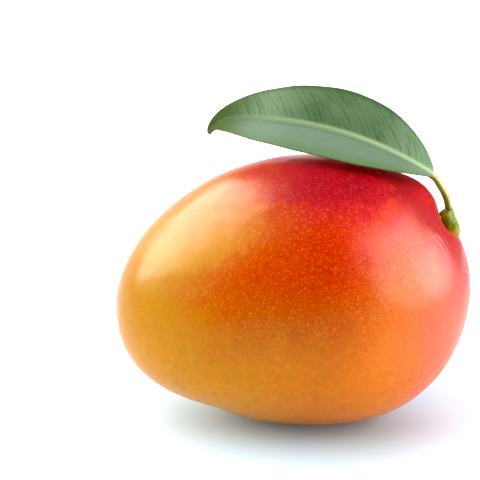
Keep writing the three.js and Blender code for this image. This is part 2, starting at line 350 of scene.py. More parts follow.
# degrees at the base, the middle and the tip
ROLL = (25, 44, 30)
FOLD = (22, 16, 13.5)
FRONT_DROOP = 0.065
MARGIN_WAVE = 0.12 * MM
MARGIN_WAVES = 5.5
MARGIN_SQUARENESS = 24
BLADE = 0.62 * MM
MIDRIB_HALF_WIDTH = 1.3 * MM
MIDRIB_RISE = 0.5 * MM
MIDRIB_KEEL = 0.9 * MM
MIDRIB_NARROWING = 0.5
MIDRIB_LOWERING = 0.8
RIB_BAND = 1.3 * MM  # half the width of the pale band along the midrib, at its base
RIB_BAND_NARROWING = 0.72
RIB_SHADE_OFFSET = 2.1 * MM  # from the midrib's middle to the shaded line on its near side
LEAF_ROWS = 300
LEAF_COLUMNS = 130
COLUMN_CROWDING = 1.35
VEIN_SPACING = 2.4 * MM
VEIN_SLANT = 0.62
VEIN_BEND = 18.0  # per metre: how fast a side vein turns towards the tip
VEIN_WANDER = ((0.35 * MM, 7 * MM, 0.0), (0.25 * MM, 2.6 * MM, 2.0))  # height, length per radian, phase
VEIN_SHARPNESS = 10
VEIN_RELIEF = 0.014 * MM
VEIN_RELIEF_BELOW = 0.6  # of the relief above
VEIN_ENDS = (0.02, 0.25)  # shares of the half width, in from the margin, where the veins fade out
STREAK_FINENESS = (0.9, 0.12)  # waves to the mm across the veins, and the share of that along them

# ---- View and light ----
CAMERA_AT = (-20.5 * MM, -433.5 * MM, 178.7 * MM)
CAMERA_DOWN = math.radians(15.0)
LENS = 100.0
SENSOR = 36.0
NEAREST_SEEN = 0.01
BLACK_LEVEL = 0.01
WORLD_BRIGHTNESS = 0.04
FLOOR_BELOW = -0.05 * MM
FLOOR_HALF_SIZE = 6.0
FLOOR_COLOUR = (0.9, 0.9, 0.9, 1)
FLOOR_UNDER_FRUIT = (0.56, 0.79, 0.94, 1)  # cooler, against the warm light that the fruit throws
COOL_CENTRE = (0.002, 0.003, 0)
COOL_FADE = (0.035, 0.085)
GLOW_CENTRE = (0.006, 0.003, 0)
# between two distances from that centre, and the strengths there
GLOW_RINGS = ((0.017, 0.055, 0.06, 0.3), (0.06, 0.1, 0.0, 0.25), (0.2, 0.8, 0.0, 0.7))
GLOW_SPREAD = 0.2  # the strip widens by this share of the distance from the camera to each side
GLOW_EDGE = (0.01, 0.06)  # metres past it over which the glow fades
GLOW_FRONT = (-0.13, -0.07)  # along Y, where the glow starts in front of the fruit
GLOW_LEAST = 0.15  # share of the glow that is left outside the strip
SIDE_GLOW = 0.3  # of a patch at the right, outside the view
SIDE_GLOW_NEAR = (0.01, 0.05)  # metres past the strip's edge where it starts, and where it ends:
SIDE_GLOW_FAR = (0.25, 0.4)
PANEL_DISTANCE = 0.9


# ---- Shared helpers ----

def unit(vectors):
    """The vectors at length one."""
    return vectors / np.linalg.norm(vectors, axis=-1, keepdims=True)


def smooth_noise(points, wavelength, seed):
    """Smooth noise near -1 to 1: a sum of sine waves of about one wavelength, each in a random
    direction."""
    random = np.random.default_rng(seed)
    directions = unit(random.normal(size=(NOISE_WAVES, 3)))
    lengths = wavelength * random.uniform(*NOISE_LENGTHS, NOISE_WAVES)
    phases = random.uniform(0, 2 * np.pi, NOISE_WAVES)
    total = np.zeros(points.shape[:-1])
    for direction, length, phase in zip(directions, lengths, phases):
        total += np.sin(points @ direction * (2 * np.pi / length) + phase)
    return total / math.sqrt(NOISE_WAVES / 2) / NOISE_PEAK


def layered_noise(points, *layers):
    """Sum of smooth noises, each layer a height, a wavelength and a seed."""
    return sum(height * smooth_noise(points, length, seed) for height, length, seed in layers)


def step(values, start, end):
    """Smooth step from 0 at start to 1 at end, which may be the lower of the two."""
    share = np.clip((values - start) / (end - start), 0, 1)
    return share * share * (3 - 2 * share)


def bell(values, centre, width):
    """Bell curve of height one."""
    return np.exp(-0.5 * ((values - centre) / width) ** 2)


def new_object(name, points, faces, fields=None, uv=None):
    """A smooth mesh object at the origin, with named fields on its points and a UV for each point."""
    mesh = bpy.data.meshes.new(name)
    mesh.from_pydata(points, [], faces)
    for key, values in (fields or {}).items():
        layer = mesh.attributes.new(key, "FLOAT", "POINT")
        layer.data.foreach_set("value", np.ascontiguousarray(values, dtype=np.float32).ravel())
    if uv is not None:
        corners = np.empty(len(mesh.loops), dtype=np.int32)
        mesh.loops.foreach_get("vertex_index", corners)
        layer = mesh.uv_layers.new(name="surface")
        layer.data.foreach_set("uv", uv[corners].astype(np.float32).ravel())
    mesh.polygons.foreach_set("use_smooth", np.ones(len(mesh.polygons), dtype=bool))
    mesh.update()
    made = bpy.data.objects.new(name, mesh)
    bpy.context.collection.objects.link(made)
    return made


def ring_faces(rings, sides):
    """Faces between closed rings, with point 0 closing the first ring and the last point the
    last one."""
    ring, side = np.meshgrid(np.arange(rings - 1), np.arange(sides), indexing="ij")
    following = (side + 1) % sides
    quads = 1 + np.stack(
        [ring * sides + side, ring * sides + following,
         (ring + 1) * sides + following, (ring + 1) * sides + side], axis=-1).reshape(-1, 4)
    edge = np.arange(sides)
    after = (edge + 1) % sides
    last = 1 + rings * sides
    first_cap = np.stack([np.zeros(sides, int), 1 + after, 1 + edge], axis=-1)
    final = 1 + (rings - 1) * sides
    last_cap = np.stack([np.full(sides, last), final + edge, final + after], axis=-1)
    return quads.tolist() + first_cap.tolist() + last_cap.tolist()


def smooth_path(points, count):
    """Points along a Catmull-Rom curve through the given ones, with the ends carried straight on."""
    ends = np.vstack([2 * points[0] - points[1], points, 2 * points[-1] - points[-2]])
    at = np.linspace(0, len(points) - 1, count)
    piece = np.minimum(at.astype(int), len(points) - 2)
    t = (at - piece)[:, None]
    p0, p1, p2, p3 = (ends[piece + k] for k in range(4))
    return 0.5 * (2 * p1 + (p2 - p0) * t + (2 * p0 - 5 * p1 + 4 * p2 - p3) * t ** 2
                  + (3 * p1 - p0 - 3 * p2 + p3) * t ** 3)


def rod_grid(rings, sides):
    """Share along a rod, as a column, and angle round it, as a row."""
    return (np.linspace(0, 1, rings)[:, None],
            np.linspace(0, 2 * np.pi, sides, endpoint=False)[None, :])


def rod(path, radius):
    """A rod along a path: at each point a ring of the given radii, square to the path.

    radius is an array of path points by sides. The angle round the rod is 0 on the far side and
    turns by way of -X. Returns the points, the faces, and each point's share along and angle."""
    rings, sides = radius.shape
    share, angle = rod_grid(rings, sides)
    tangent = unit(np.gradient(path, axis=0))
    side = unit(np.array([0.0, 1.0, 0.0]) - tangent[:, 1:2] * tangent)
    front = np.cross(tangent, side)
    ring = np.cos(angle)[..., None] * side[:, None] + np.sin(angle)[..., None] * front[:, None]
    body = path[:, None] + radius[..., None] * ring
    points = np.vstack([path[:1], body.reshape(-1, 3), path[-1:]])
    along = np.concatenate([[0], np.repeat(share, sides), [1]])
    around = np.concatenate([[0], np.tile(angle[0], rings), [0]])
    return points, ring_faces(rings, sides), along, around


# ---- Node helpers ----

class Graph:
    """Adds nodes to a tree by short calls that mostly give back an output socket."""

    def __init__(self, tree):
        self.tree = tree

    def fill(self, node, inputs):
        """Links a node's inputs where the values are sockets, and sets them otherwise."""
        for key, value in inputs.items():
            if isinstance(value, bpy.types.NodeSocket):
                self.tree.links.new(value, node.inputs[key])
            else:
                node.inputs[key].default_value = value

    def node(self, kind, inputs=None, **settings):
        """A node with its settings and inputs."""
        made = self.tree.nodes.new(kind)
        for key, value in settings.items():
            setattr(made, key, value)
        self.fill(made, inputs or {})
        return made

    def math(self, operation, first, second=0.0, clamp=False):
        """One Math node."""
        made = self.node("ShaderNodeMath", {0: first, 1: second}, operation=operation, use_clamp=clamp)
        return made.outputs[0]

    def total(self, *values):
        """Sum of the values."""
        result = values[0]
        for value in values[1:]:
            result = self.math("ADD", result, value)
        return result

    def product(self, *values):
        """Product of the values."""
        result = values[0]
        for value in values[1:]:
            result = self.math("MULTIPLY", result, value)
        return result

    def swing(self, value, depth):
        """How far a value lies from one half, times depth."""
        return self.product(self.math("SUBTRACT", value, 0.5), depth)

    def between(self, value, low, high, start=0.0, end=1.0):
        """Smooth step of value from low to high, as start to end."""
        made = self.node("ShaderNodeMapRange", {"Value": value, "From Min": low, "From Max": high,
                                                "To Min": start, "To Max": end},
                         interpolation_type="SMOOTHSTEP")
        return made.outputs["Result"]

    def fade(self, value, name):
        """Smooth step of value by the numbers of that name in FADES."""
        return self.between(value, *FADES[name])

    def mix(self, share, first, second, blend="MIX"):
        """Colour between first and second; the Mix node's colour sockets are numbers 6 and 7."""
        made = self.node("ShaderNodeMix", data_type="RGBA", blend_type=blend, clamp_factor=True)
        self.fill(made, {0: share, 6: first, 7: second})
        return made.outputs[2]

    def place(self):
        """Object coordinates."""
        return self.node("ShaderNodeTexCoord").outputs["Object"]

    def field(self, name):
        """A field that the mesh carries on its points."""
        return self.node("ShaderNodeAttribute", attribute_name=name).outputs["Fac"]

    def noise(self, vector, scale, detail=2.0, roughness=0.5):
        """Noise from 0 to 1, with scale waves to the vector's unit."""
        made = self.node("ShaderNodeTexNoise", {"Vector": vector, "Scale": scale, "Detail": detail,
                                                "Roughness": roughness})
        return made.outputs["Fac"]

    def distance(self, first, second):
        """Distance between two places."""
        made = self.node("ShaderNodeVectorMath", {0: first, 1: second}, operation="DISTANCE")
        return made.outputs["Value"]

    def bump(self, height, strength, depth):
        """Normals of a bumped surface."""
        made = self.node("ShaderNodeBump", {"Strength": strength, "Distance": depth, "Height": height})
        return made.outputs["Normal"]

    def dots(self, place, kind):
        """The mask and chance of the dot group, at a place, for a number per metre and two radii."""
        density, smallest, largest = kind
        made = self.node("ShaderNodeGroup", node_tree=DOT_GROUP)
        self.fill(made, {"Place": place, "Density": density, "Smallest": smallest, "Largest": largest})
        return made.outputs["Mask"], made.outputs["Chance"]


def new_material(name):
    """An empty node material with its Principled shader, as (material, graph, shader)."""
    material = bpy.data.materials.new(name)
    material.use_nodes = True
    graph = Graph(material.node_tree)
    return material, graph, material.node_tree.nodes["Principled BSDF"]


def dot_group():
    """Node group: round dots scattered over a surface, one in each cell of a random 3-D net.

    Inputs are the place, the dots' number per metre, and the radius of the smallest and the
    largest as shares of a cell. Outputs are the dots' mask and a random value for each cell."""
    tree = bpy.data.node_groups.new("pores", "ShaderNodeTree")
    for name, kind in (("Place", "NodeSocketVector"), ("Density", "NodeSocketFloat"),
                       ("Smallest", "NodeSocketFloat"), ("Largest", "NodeSocketFloat")):
        tree.interface.new_socket(name, in_out="INPUT", socket_type=kind)
    for name in ("Mask", "Chance"):
        tree.interface.new_socket(name, in_out="OUTPUT", socket_type="NodeSocketFloat")
    graph = Graph(tree)
    given = graph.node("NodeGroupInput").outputs
    cells = graph.node("ShaderNodeTexVoronoi", {"Vector": given["Place"], "Scale": given["Density"],
                                                "Randomness": DOT_SCATTER})
    chance = graph.node("ShaderNodeSeparateColor", {"Color": cells.outputs["Color"]})
    spread = graph.math("SUBTRACT", given["Largest"], given["Smallest"])
    radius = graph.total(given["Smallest"], graph.product(spread, chance.outputs["Red"]))
    mask = graph.between(cells.outputs["Distance"], radius, graph.product(radius, DOT_CORE))
    graph.node("NodeGroupOutput", {"Mask": mask, "Chance": chance.outputs["Green"]})
    return tree


# ---- Fruit ----

def skin_distance(direction):
    """Distance from the middle to the skin along unit directions.

    The radius of an ellipsoid whose long axis is tilted and whose cheeks stand out more at the
    stem end, plus one bell-shaped swell or hollow for each entry of SWELLS."""
    x, y, z = direction[..., 0], direction[..., 1], direction[..., 2]
    along = x * math.cos(LONG_AXIS_TILT) + z * math.sin(LONG_AXIS_TILT)
    upward = -x * math.sin(LONG_AXIS_TILT) + z * math.cos(LONG_AXIS_TILT)
    sideways = y / (1 + STEM_END_FULLER * x)
    inverse = np.sqrt((along / HALF_LENGTH) ** 2 + (sideways / HALF_THICKNESS) ** 2
                      + (upward / HALF_HEIGHT) ** 2)
    distance = 1 / inverse
    for bearing, height, spread, fade in SWELLS.values():
        angle = math.radians(bearing)
        offset = np.sqrt((x - math.cos(angle)) ** 2 + (fade * y) ** 2 + (z - math.sin(angle)) ** 2)
        distance = distance + height * bell(offset, 0, math.radians(spread))
    return distance


def stem_angle(direction):
    """Angle in degrees between unit directions and the middle of the stem basin."""
    return np.degrees(np.arccos(np.clip(direction @ STEM_AXIS, -1, 1)))


def stub_distance(place):
    """Distance in mm from the straight line between the stub's second point and its cut end."""
    foot, rise = (STUB_PATH[1] - MIDDLE) / MM, (STUB_PATH[-1] - STUB_PATH[1]) / MM
    up_stub = np.clip((place / MM - foot) @ rise / (rise @ rise), 0, 1)[..., None]
    return np.linalg.norm(place / MM - foot - up_stub * rise, axis=-1)


def stem_wrinkles(place, from_stem):
    """Arcs of fine wrinkles round the stem, from -1 to 1: a sine of the angle from it in degrees,
    wandering, in a zone that fades out here and there."""
    wander = layered_noise(place, WRINKLE_WANDER)
    arcs = np.sin(2 * np.pi * from_stem / WRINKLE_SPACING + wander)
    gaps = step(layered_noise(place, WRINKLE_GAPS), *WRINKLE_GAP_EDGE)
    return arcs * bell(from_stem, *WRINKLE_ZONE) * gaps


def skin_fields(place, direction):
    """Soft colour fields over the skin, from the place relative to the middle.

    redness is the sun's blush: a rise with height, times a rise past the beak, times a fall
    towards the stem's flank, with a blush of its own behind, more at the stem end and in some
    patches, and all of it round the stem. gold grows towards the beak; its patch high on the beak's
    flank and the bend of the blush's border there are partly a painted highlight. crimson is the
    strongest of its zones, along the top and round the stem. The pink bloom is a pale haze on the
    stem's cheek, partly a painted sheen under the highlight there, and is painted light on the crest
    below the leaf; collar a ring round the stub, speckled where dark specks gather. low grows
    downwards from the middle, and tone is how light the skin is, with the leaf's shadow painted
    below it, painted light on the top rim, the crest and beside the leaf stalk, a painted highlight
    on the beak's flank and paler wrinkle crests as painted glints."""
    drift = layered_noise(place, *SKIN_DRIFT)
    x, y, z = ((place / MM)[..., axis] for axis in range(3))
    x, z = x + drift, z + SKIN_DRIFT_UP * drift + layered_noise(place, FINE_DRIFT)
    from_stem = stem_angle(direction)
    at = {
        "x": x, "y": y, "z": z, "from_stem": from_stem - drift, "from_stub": stub_distance(place),
        "past_flank": x - FLANK_SLANT * np.maximum(z - FLANK_SLANT_FROM, 0),
        "behind": z + BEHIND_SLANT * x, "steeply_behind": z + BEHIND_STEEP_SLANT * x,
    }

    def zone(name):
        """Share of a zone at each place: the product of smooth steps over its borders."""
        share = np.ones(x.shape)
        for axis, start, full in ZONES[name]:
            share = share * step(at[axis], start, full)
        return share

    def patch(strength, x_middle, x_spread, z_middle, z_spread):
        """A bell-shaped patch on the skin."""
        return strength * bell(x, x_middle, x_spread) * bell(z, z_middle, z_spread)

    # the bend at the shoulder leaves gold shaped like the upper left highlight, partly a painted
    # highlight
    beak_border = BEAK_BORDER + SHOULDER_BEND * zone("shoulder_bend") + CREST_BEND * zone("crest_bend")
    at["past_beak"] = x - beak_border
    full_blush = np.maximum(zone("full_blush_along"), zone("full_blush_above"))
    front = zone("blush_height") * zone("blush_past_beak") * (1 - FAINT_BLUSH * (1 - full_blush))
    front = front * (1 - BLUSH_THINNING * zone("thin_blush"))
    redness = front + (zone("blush_behind") - front) * zone("back")
    for name, share in REDDER_ZONES.items():
        redness = redness + share * zone(name) * (1 - redness)
    redness = redness + patch(*PATCHES["red_flank"]) + patch(*PATCHES["red_upper_flank"])
    for name in ("pale_shoulder", "pale_upper_flank"):
        redness = redness * (1 - patch(*PATCHES[name]))
    redness = np.maximum(redness, zone("round_stem"))

    # the gold patch high on the beak's flank is partly a painted highlight
    gold = (GOLD_SHARE * zone("gold_side") + patch(*PATCHES["gold_and_highlight_beak"])
            - SHOULDER_GOLD_LOSS * zone("beak_shoulder"))
    crimson = patch(*PATCHES["crimson_low_rim"])
    for name, share in CRIMSON_ZONES.items():
        crimson = np.maximum(crimson, share * zone(name))
    # pink bloom on the stem's cheek, partly a painted sheen under the highlight
    bloom_and_sheen = patch(*PATCHES["cheek_bloom_and_sheen"]) + patch(*PATCHES["upper_cheek_bloom_and_sheen"])
    # the wrinkle arcs in the tone are painted glints
    tone = TONE + WRINKLE_PAINTED_GLINT * stem_wrinkles(place, from_stem)
    # The zones and patches of the tone include the leaf's painted shadow, painted light round it and a
    # painted highlight on the beak's flank
    tone = tone + sum(share * zone(name) for name, share in TONE_ZONES.items())
    tone = tone + sum(patch(*row) for row in TONE_PATCHES.values())
    # on the crest below the leaf the pale pink is painted light
    return {"redness": redness, "gold": np.clip(gold, 0, 1), "crimson": crimson,
            "bloom_and_sheen": np.maximum(bloom_and_sheen, CREST_PAINTED_LIGHT * zone("painted_light_crest")), "collar": zone("collar"),
            "speckled": patch(*PATCHES["specks"]), "low": zone("low"), "tone": tone}


def build_fruit():
    """The skin: rings of directions round the stem basin, each at its skin distance, with faint
    dents and with arcs of fine wrinkles round the stem, flattened where it rests."""
    side = np.array([0.0, 1.0, 0.0])
    front = np.cross(STEM_AXIS, side)
    polar = np.pi * (np.arange(FRUIT_RINGS, 0, -1) / (FRUIT_RINGS + 1)) ** RING_CROWDING
    turn = np.linspace(0, 2 * np.pi, FRUIT_MERIDIANS, endpoint=False)
    polar, turn = np.meshgrid(polar, turn, indexing="ij")
    grid = (np.cos(polar)[..., None] * STEM_AXIS + (np.sin(polar) * np.cos(turn))[..., None] * side
            + (np.sin(polar) * np.sin(turn))[..., None] * front)
    direction = np.vstack([-STEM_AXIS, grid.reshape(-1, 3), STEM_AXIS])
    place = direction * skin_distance(direction)[:, None]
    relief = layered_noise(place, *DENTS)
    relief = relief + WRINKLE_HEIGHT * stem_wrinkles(place, stem_angle(direction))
    place = place + direction * relief[:, None]
    points = place + MIDDLE
    points[:, 2] = np.maximum(points[:, 2], 0)
    fruit = new_object("fruit_skin", points, ring_faces(FRUIT_RINGS, FRUIT_MERIDIANS),
                       skin_fields(place, direction))
    fruit.data.materials.append(skin_material())
    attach(fruit, "root")
    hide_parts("fruit")


def skin_material():
    """Waxy skin: gold at the beak, partly a painted highlight high on its flank, amber below, red
    above and crimson round the stem, with a pale pink haze on the stem's cheek that is partly a
    painted sheen, pale pores in the red, dark specks and soft clouds. Its tone holds the leaf's
    painted shadow, painted light round it, a painted highlight on the beak's flank and paler
    wrinkle crests as painted glints."""
    material, graph, shader = new_material("mango_skin")
    place = graph.place()
    redness, crimson, bloom_and_sheen = (graph.field(name) for name in ("redness", "crimson", "bloom_and_sheen"))
    mottle = graph.noise(place, SKIN_MOTTLE, detail=3.0, roughness=0.62)
    grain = graph.noise(place, SKIN_GRAIN)
    uneven_redness = graph.math("ADD", redness, graph.swing(mottle, MOTTLED_REDNESS), clamp=True)
    colour = graph.mix(graph.field("gold"), AMBER, GOLD)
    colour = graph.mix(uneven_redness, colour, RED)
    colour = graph.mix(crimson, colour, CRIMSON)
    # pink bloom, partly a painted sheen, and painted light on the crest
    colour = graph.mix(bloom_and_sheen, colour, BLOOM_AND_SHEEN)
    colour = graph.mix(graph.product(graph.field("collar"), COLLAR_SHARE), colour, COLLAR)

    pinkness = graph.math("MAXIMUM", crimson, bloom_and_sheen)
    dots_in_pink = graph.fade(pinkness, "dots_in_pink")
    red_pore = graph.mix(graph.fade(pinkness, "pink_pores"), ORANGE_PORE, BLOOM_AND_SHEEN)
    pore_colour = graph.mix(redness, PALE_PORE, red_pore)
    pores, chance = graph.dots(place, PORES)
    pore_share = graph.product(pores, graph.fade(chance, "pore_chance"),
                               graph.fade(redness, "pores_in_red"), dots_in_pink)
    colour = graph.mix(pore_share, colour, pore_colour)
    fine_pores, chance = graph.dots(place, FINE_PORES)
    fine_share = graph.product(fine_pores, graph.fade(chance, "fine_pore_chance"),
                               graph.fade(redness, "fine_pores_in_red"), dots_in_pink)
    colour = graph.mix(fine_share, colour, pore_colour)
    specks, chance = graph.dots(place, SPECKS)
    speck_share = graph.product(specks, graph.fade(chance, "speck_chance"),
                                graph.total(graph.field("speckled"), 1.0))
    colour = graph.mix(speck_share, colour, DARK_SPECK)

    clouds = graph.fade(graph.noise(place, SKIN_CLOUDS, detail=3.0), "cloud_tone")
    clouds = graph.product(clouds, graph.fade(graph.field("low"), "clouds_low_down"))
    lighter_pores = graph.total(graph.product(pore_share, PORE_TONE),
                                graph.product(fine_share, FINE_PORE_TONE))
    tone = graph.total(graph.field("tone"), graph.swing(grain, GRAIN_TONE), clouds, lighter_pores)
    grey = graph.node("ShaderNodeCombineColor", {"Red": tone, "Green": tone, "Blue": tone})
    colour = graph.mix(1.0, colour, grey.outputs["Color"], blend="MULTIPLY")
    height = graph.total(graph.product(pores, PORE_HEIGHT), graph.product(grain, GRAIN_HEIGHT))
    graph.fill(shader, {
        "Base Color": colour, "Roughness": 0.29, "Specular IOR Level": 0.14, "Coat Weight": 0.05,
        "Coat Roughness": 0.16, "Normal": graph.bump(height, 0.35, 0.08 * MM),
    })
    return material


# ---- Stalk ----

def build_stub():
    """The cut stub: a rod whose radius is a sum of twisted sine lumps, wider at the fruit and
    rounded like an ellipse at its cut end."""
    share, angle = rod_grid(STUB_RINGS, STUB_SIDES)
    lumps = sum(height * np.sin(count * angle + twist * share + phase)
                for height, count, twist, phase in STUB_LUMPS)
    past_end = np.clip(share - STUB_END[0], 0, 1) / STUB_END[1]
    rounding = np.sqrt(np.clip(1 - past_end ** 2, STUB_END_LEAST, 1))
    radius = STUB_RADIUS * (1 + STUB_FOOT_SWELLING * (1 - share) ** 2 + lumps) * rounding
    points, faces, along, _ = rod(smooth_path(STUB_PATH, STUB_RINGS), radius)
    stub = new_object("stalk_stub", points, faces, {"along": along})
    stub.data.materials.append(stub_material())
    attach(stub, "root")
    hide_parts("stem")


def stub_material():
    """Olive green bark, yellowish at its foot and corky brown at its cut end."""
    material, graph, shader = new_material("stub_bark")
    place, along = graph.place(), graph.field("along")
    patches = graph.noise(place, BARK_PATCHES, detail=3.0)
    fibres = graph.noise(place, BARK_FIBRES)
    at_foot = graph.product(graph.fade(along, "stub_foot"), graph.fade(patches, "foot_patches"))
    at_end = graph.product(graph.fade(along, "stub_end"), graph.fade(patches, "cork_patches"))
    colour = graph.mix(graph.fade(patches, "bright_bark"), STUB_GREEN, STUB_BRIGHT_GREEN)
    colour = graph.mix(at_end, colour, STUB_CORK)
    colour = graph.mix(at_foot, colour, STUB_FOOT)
    graph.fill(shader, {"Base Color": colour, "Roughness": 0.6, "Specular IOR Level": 0.2,
                        "Normal": graph.bump(fibres, 0.6, 0.2 * MM)})
    return material


def build_leaf_stalk():
    """The leaf's stalk: a slim, slightly flattened rod, a little swollen where it leaves the stub."""
    share, angle = rod_grid(LEAF_STALK_RINGS, LEAF_STALK_SIDES)
    swelling = 1 + LEAF_STALK_SWELLING * (1 - share) ** 4
    radius = LEAF_STALK_RADIUS * swelling * (1 + LEAF_STALK_FLATNESS * np.sin(2 * angle + 4 * share))
    points, faces, along, around = rod(smooth_path(LEAF_STALK_PATH, LEAF_STALK_RINGS), radius)
    stalk = new_object("leaf_stalk", points, faces, {"along": along, "around": around})
    stalk.data.materials.append(leaf_stalk_material())
    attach(stalk, "root")
    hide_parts("stem")


def leaf_stalk_material():
    """Yellow-green stalk with faint streaks, darker towards the stub, with painted shade on the side
    that faces the beak."""
    material, graph, shader = new_material("leaf_stalk_skin")
    along = graph.field("along")
    streaks = graph.noise(graph.place(), STALK_STREAKS)
    # painted shade on the stalk's side towards the beak
    towards_shaded_side = graph.math("SINE", graph.math("SUBTRACT", graph.field("around"), SHADED_SIDE_TURN))
    colour = graph.mix(graph.fade(towards_shaded_side, "painted_shade_side"), graph.mix(along, *STALK_LIT_SIDE),
                       graph.mix(along, *STALK_SHADED_SIDE))
    colour = graph.mix(graph.fade(streaks, "stalk_streaks"), colour, STALK_STREAK)
    graph.fill(shader, {"Base Color": colour, "Roughness": 0.42,
                        "Normal": graph.bump(streaks, 0.3, 0.1 * MM)})
    return material


# ---- Leaf ----

def three_point(values, share):
    """The parabola through three values at the base, the middle and the tip."""
    base, middle, tip = values
    return (base * (1 - share) * (1 - 2 * share) + middle * 4 * share * (1 - share)
            + tip * share * (2 * share - 1))


def bezier(controls, t):
    """Points of a Bezier curve: the control points weighted by Bernstein's polynomials."""
    degree = len(controls) - 1
    weights = [math.comb(degree, k) * t ** k * (1 - t) ** (degree - k) for k in range(degree + 1)]
    return np.stack(weights, axis=-1) @ controls


def midrib(share):
    """Points and unit directions of the midrib at shares of its true length, and that length."""
    t = np.linspace(0, 1, MIDRIB_SAMPLES)
    curve = bezier(MIDRIB_CONTROLS, t)
    travelled = np.concatenate([[0], np.cumsum(np.linalg.norm(np.diff(curve, axis=0), axis=1))])
    at = np.interp(share, travelled / travelled[-1], t)
    legs = np.diff(MIDRIB_CONTROLS, axis=0)
    return bezier(MIDRIB_CONTROLS, at), unit(bezier(legs, at)), travelled[-1]


def side_veins(along, reach):
    """Height of the side veins from 0 to 1: ridges that leave the midrib at a slant and bend
    towards the tip, staggered between the two halves."""
    across = np.abs(reach)
    start = along - VEIN_SLANT * across - VEIN_BEND * across ** 2
    start = start + np.where(reach < 0, 0.5, 0) * VEIN_SPACING
    start = start + sum(height * np.sin(along / length + phase)
                        for height, length, phase in VEIN_WANDER)
    return np.cos(np.pi * start / VEIN_SPACING) ** VEIN_SHARPNESS


def leaf_outline(share):
    """Half width of the blade: a power of a half sine, with a neck at the stalk and a blunt point."""
    bluntness = LEAF_BLUNTNESS[0] + (LEAF_BLUNTNESS[1] - LEAF_BLUNTNESS[0]) * share
    outline = np.clip(np.sin(np.pi * share ** LEAF_WIDEST), 0, 1) ** bluntness
    return LEAF_HALF_WIDTH * outline + LEAF_NECK * (1 - share) ** LEAF_NECK_FADE + LEAF_POINT * share


def build_leaf():
    """The leaf: a blade about its midrib, rolled, folded along the midrib and drooping at the
    front, with a raised rib, side veins and waved margins."""
    share = 0.5 - 0.5 * np.cos(np.pi * np.linspace(0, 1, LEAF_ROWS + 1))
    even = np.linspace(-1, 1, LEAF_COLUMNS + 1)
    across = np.sign(even) * np.abs(even) ** COLUMN_CROWDING
    centre, tangent, length = midrib(share)
    level = unit(np.array([0.0, 1.0, 0.0]) - tangent[:, 1:2] * tangent)
    upright = np.cross(level, tangent)
    row_share = share[:, None]
    roll = np.radians(three_point(ROLL, row_share))
    fold = np.radians(three_point(FOLD, row_share))
    out = np.cos(roll) * level + np.sin(roll) * upright
    up = np.cos(roll) * upright - np.sin(roll) * level
    bulge = np.sin(np.pi * row_share)
    half_width = leaf_outline(row_share)
    reach = half_width * across
    droop = np.where(across < 0, FRONT_DROOP * half_width * bulge * across ** 2, 0)
    wave = MARGIN_WAVE * bulge * np.abs(across) ** 3 * np.sin(2 * np.pi * MARGIN_WAVES * row_share)
    along = np.broadcast_to(row_share * length, reach.shape)
    veins = side_veins(along, reach) * step(1 - np.abs(across), *VEIN_ENDS) * bulge
    rib_half_width = MIDRIB_HALF_WIDTH * (1 - MIDRIB_NARROWING * row_share)
    rib = np.sqrt(np.clip(1 - (reach / rib_half_width) ** 2, 0, 1))
    rib = rib * (1 - MIDRIB_LOWERING * row_share)
    surface = (centre[:, None] + (reach * np.cos(fold))[..., None] * out[:, None]
               + (np.abs(reach) * np.sin(fold) - droop + wave)[..., None] * up[:, None])
    rounded = (BLADE / 2) * np.sqrt(np.clip(1 - np.abs(across) ** MARGIN_SQUARENESS, 0, 1))
    rise = rounded + MIDRIB_RISE * rib + VEIN_RELIEF * veins
    sink = rounded + MIDRIB_KEEL * rib + VEIN_RELIEF_BELOW * VEIN_RELIEF * veins
    upper = surface + rise[..., None] * up[:, None]
    lower = surface - sink[..., None] * up[:, None]

    # One closed ring for each row: over the upper face to the far margin, back under the lower one.
    rings = np.concatenate([upper, lower[:, -2:0:-1]], axis=1)
    sides = rings.shape[1]
    both_ways = np.concatenate([np.arange(LEAF_COLUMNS + 1), np.arange(LEAF_COLUMNS - 1, 0, -1)])
    base, tip = surface[0].mean(axis=0), surface[-1].mean(axis=0)
    points = np.vstack([base, rings.reshape(-1, 3), tip])
    on_top = np.repeat((np.arange(sides) <= LEAF_COLUMNS)[None], LEAF_ROWS + 1, axis=0)
    uv = np.stack([along, reach], axis=-1)[:, both_ways] / MM
    uv = np.vstack([[0, 0], uv.reshape(-1, 2), [length / MM, 0]])

    def over_rings(values, at_base, at_tip):
        """Values over the blade as a field on the points: both faces, then the two end points."""
        whole = np.broadcast_to(values, reach.shape)[:, both_ways].ravel()
        return np.concatenate([[at_base], whole, [at_tip]])

    rib_band = RIB_BAND * (1 - RIB_BAND_NARROWING * row_share)
    fields = {
        "along": over_rings(row_share, 0, 1),
        "edge": over_rings(np.abs(across), 0, 0),
        "rib": over_rings(np.exp(-(reach / rib_band) ** 2), 1, 1),
        "upper_face": np.concatenate([[1], on_top.ravel(), [1]]).astype(float),
    }
    leaf = new_object("leaf_blade", points, ring_faces(LEAF_ROWS + 1, sides), fields, uv)
    leaf.data.materials.append(leaf_material())
    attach(leaf, "root")
    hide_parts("leaf")


def vein_start(graph, distance, reach):
    """Where along the midrib the side vein through a point starts, in mm, as in side_veins."""
    across = graph.math("ABSOLUTE", reach)
    slant = graph.product(across, VEIN_SLANT)
    bend = graph.product(across, across, VEIN_BEND * MM)
    stagger = graph.product(graph.math("LESS_THAN", reach, 0.0), 0.5 * VEIN_SPACING / MM)
    wander = []
    for height, length, phase in VEIN_WANDER:
        turn = graph.total(graph.math("DIVIDE", distance, length / MM), phase)
        wander.append(graph.product(graph.math("SINE", turn), height / MM))
    start = graph.math("SUBTRACT", graph.math("SUBTRACT", distance, slant), bend)
    return graph.total(start, stagger, *wander)


